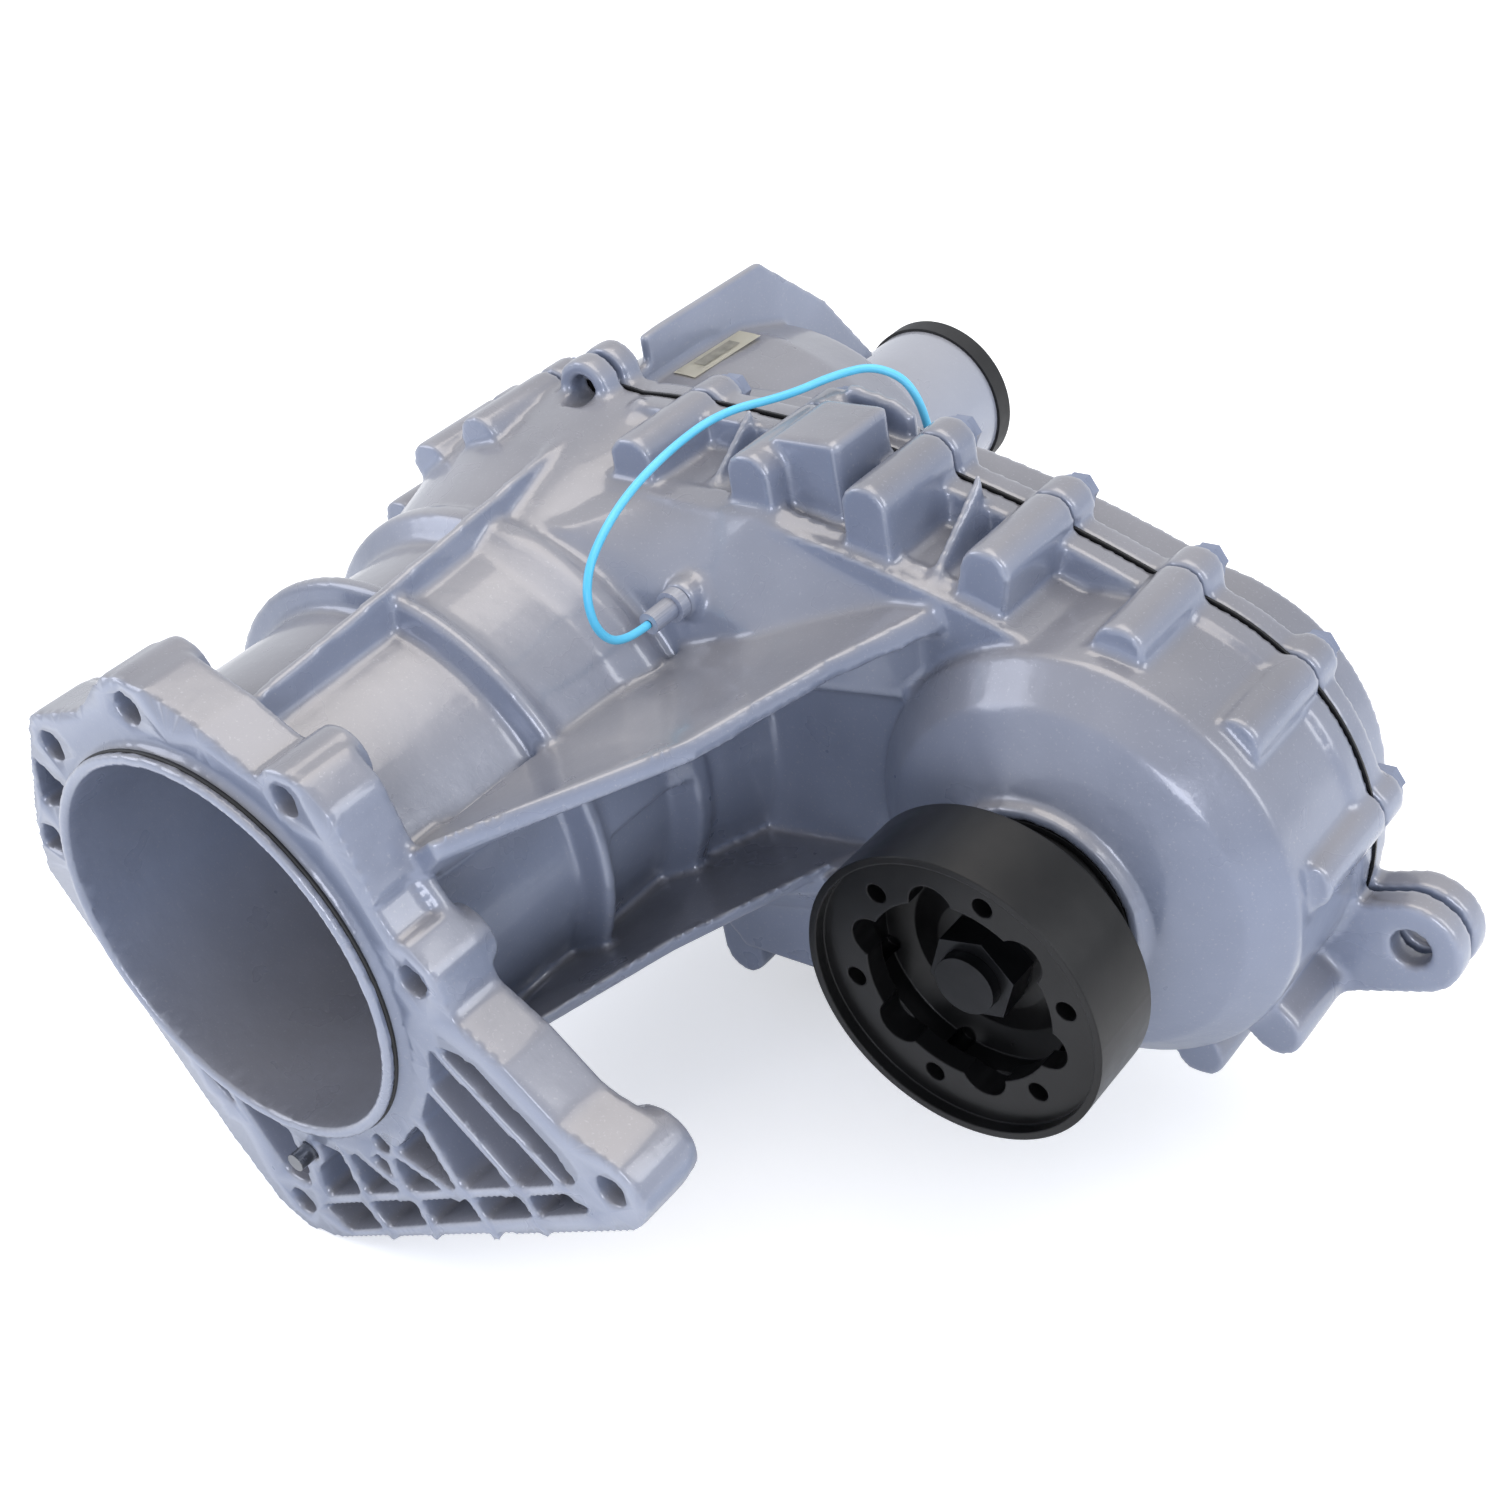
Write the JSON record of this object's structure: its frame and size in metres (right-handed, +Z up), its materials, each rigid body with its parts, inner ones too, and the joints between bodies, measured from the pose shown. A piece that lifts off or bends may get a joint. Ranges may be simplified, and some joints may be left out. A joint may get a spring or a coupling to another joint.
{
  "type": "transfer case",
  "caption": "Two-piece cast transfer case with a bell-shaped gearbox adapter, a planetary range change, a chain drive and clutch, a front output flange and a rear output tube.",
  "frame": {"origin": "centre of the locating spigot, in the plane of the face that bolts to the gearbox", "axes": "+Y runs rearward along the main shaft, +X points from the main shaft towards the front output, +Z is up"},
  "size_m": [0.4974, 0.504, 0.2867],
  "materials": {
    "cast_case": "satin paint",
    "black_flange": "satin black",
    "steel": "machined",
    "dark_steel": "oiled",
    "gear_steel": "ground",
    "bearing_steel": "polished",
    "zinc_bolt": "zinc plated",
    "seal_rubber": "matte",
    "sealant": "gloss",
    "bronze": "oiled",
    "friction": "matte",
    "copper_coil": "varnished",
    "hose_blue": "satin"
  },
  "bodies": {
    "case": {"front_case": "cast_case", "rear_case": "cast_case", "extension_tube": "cast_case", "vent_fitting": "cast_case", "vent_nipple": "cast_case", "oil_pump": "cast_case", "ring_gear": "gear_steel", "ring_gear_snap_ring": "dark_steel", "input_bearing": "bearing_steel", "input_seal": "seal_rubber", "rear_bearing": "bearing_steel", "tail_bushing": "bronze", "output_seal": "seal_rubber", "drive_chain": "dark_steel", "clutch_coil": "copper_coil", "front_output_seal": "seal_rubber", "front_bearing": "bearing_steel", "tail_bearing": "bearing_steel", "case_bolts": "zinc_bolt", "case_sealant": "sealant", "adapter_dowel": "steel", "pilot_o_ring": "seal_rubber", "fill_plug": "zinc_bolt", "drain_plug": "zinc_bolt", "vent_hose": "hose_blue"},
    "input_shaft": {"input_shaft": "steel", "sun_gear": "gear_steel"},
    "planet_carrier": {"planet_carrier": "dark_steel", "planet_pins": "bearing_steel"},
    "planet_1": {"planet_gear_1": "gear_steel"},
    "planet_2": {"planet_gear_2": "gear_steel"},
    "planet_3": {"planet_gear_3": "gear_steel"},
    "planet_4": {"planet_gear_4": "gear_steel"},
    "main_shaft": {"main_shaft": "steel", "drive_sprocket": "gear_steel", "clutch_hub": "dark_steel", "clutch_drum": "dark_steel", "clutch_steel_plates": "steel", "clutch_friction_plates": "friction", "ball_ramp_ring": "gear_steel"},
    "range_sleeve": {"range_sleeve": "gear_steel"},
    "range_fork": {"range_fork": "dark_steel"},
    "shift_shaft": {"shift_shaft": "steel"},
    "pressure_plate": {"pressure_plate": "steel"},
    "front_output": {"front_flange": "black_flange", "front_output_shaft": "steel", "flange_nut": "zinc_bolt", "driven_sprocket": "gear_steel", "dust_collar": "black_flange"}
  },
  "joints": [
    {"name": "main_shaft_spin", "type": "hinge", "parent": "case", "child": "main_shaft", "pos_m": [0, 0.33, 0], "axis": [0, 1, 0], "continuous": true},
    {"name": "input_spin", "type": "hinge", "parent": "case", "child": "input_shaft", "pos_m": [0, 0.162, 0], "axis": [0, 1, 0], "continuous": true},
    {"name": "carrier_spin", "type": "hinge", "parent": "case", "child": "planet_carrier", "pos_m": [0, 0.194, 0], "axis": [0, 1, 0], "continuous": true},
    {"name": "planet_1_spin", "type": "hinge", "parent": "planet_carrier", "child": "planet_1", "pos_m": [0.054, 0.194, 0], "axis": [0, 1, 0], "continuous": true},
    {"name": "planet_2_spin", "type": "hinge", "parent": "planet_carrier", "child": "planet_2", "pos_m": [0, 0.194, 0.054], "axis": [0, 1, 0], "continuous": true},
    {"name": "planet_3_spin", "type": "hinge", "parent": "planet_carrier", "child": "planet_3", "pos_m": [-0.054, 0.194, 0], "axis": [0, 1, 0], "continuous": true},
    {"name": "planet_4_spin", "type": "hinge", "parent": "planet_carrier", "child": "planet_4", "pos_m": [0, 0.194, -0.054], "axis": [0, 1, 0], "continuous": true},
    {"name": "front_output_spin", "type": "hinge", "parent": "case", "child": "front_output", "pos_m": [0.2493, 0.198, -0.0209], "axis": [0, 1, 0], "continuous": true},
    {"name": "shift_turn", "type": "hinge", "parent": "case", "child": "shift_shaft", "pos_m": [-0.069, 0.38, -0.055], "axis": [0, 1, 0], "range_deg": [0, 120]},
    {"name": "fork_slide", "type": "slide", "parent": "case", "child": "range_fork", "axis": [0, 1, 0], "range_m": [0, 0.01]},
    {"name": "sleeve_slide", "type": "slide", "parent": "main_shaft", "child": "range_sleeve", "axis": [0, 1, 0], "range_m": [0, 0.01]},
    {"name": "pressure_plate_slide", "type": "slide", "parent": "main_shaft", "child": "pressure_plate", "axis": [0, 1, 0], "range_m": [0, 0.0012]}
  ],
  "couplings": [
    {"joint": "input_spin", "follows": "main_shaft_spin", "ratio": 1},
    {"joint": "carrier_spin", "follows": "main_shaft_spin", "ratio": 0.37037},
    {"joint": "front_output_spin", "follows": "main_shaft_spin", "ratio": 1},
    {"joint": "planet_1_spin", "follows": "main_shaft_spin", "ratio": -1.7989},
    {"joint": "planet_2_spin", "follows": "main_shaft_spin", "ratio": -1.7989},
    {"joint": "planet_3_spin", "follows": "main_shaft_spin", "ratio": -1.7989},
    {"joint": "planet_4_spin", "follows": "main_shaft_spin", "ratio": -1.7989},
    {"joint": "fork_slide", "follows": "sleeve_slide", "ratio": 1},
    {"joint": "shift_turn", "follows": "sleeve_slide", "rad_per_m": 209.4}
  ]
}
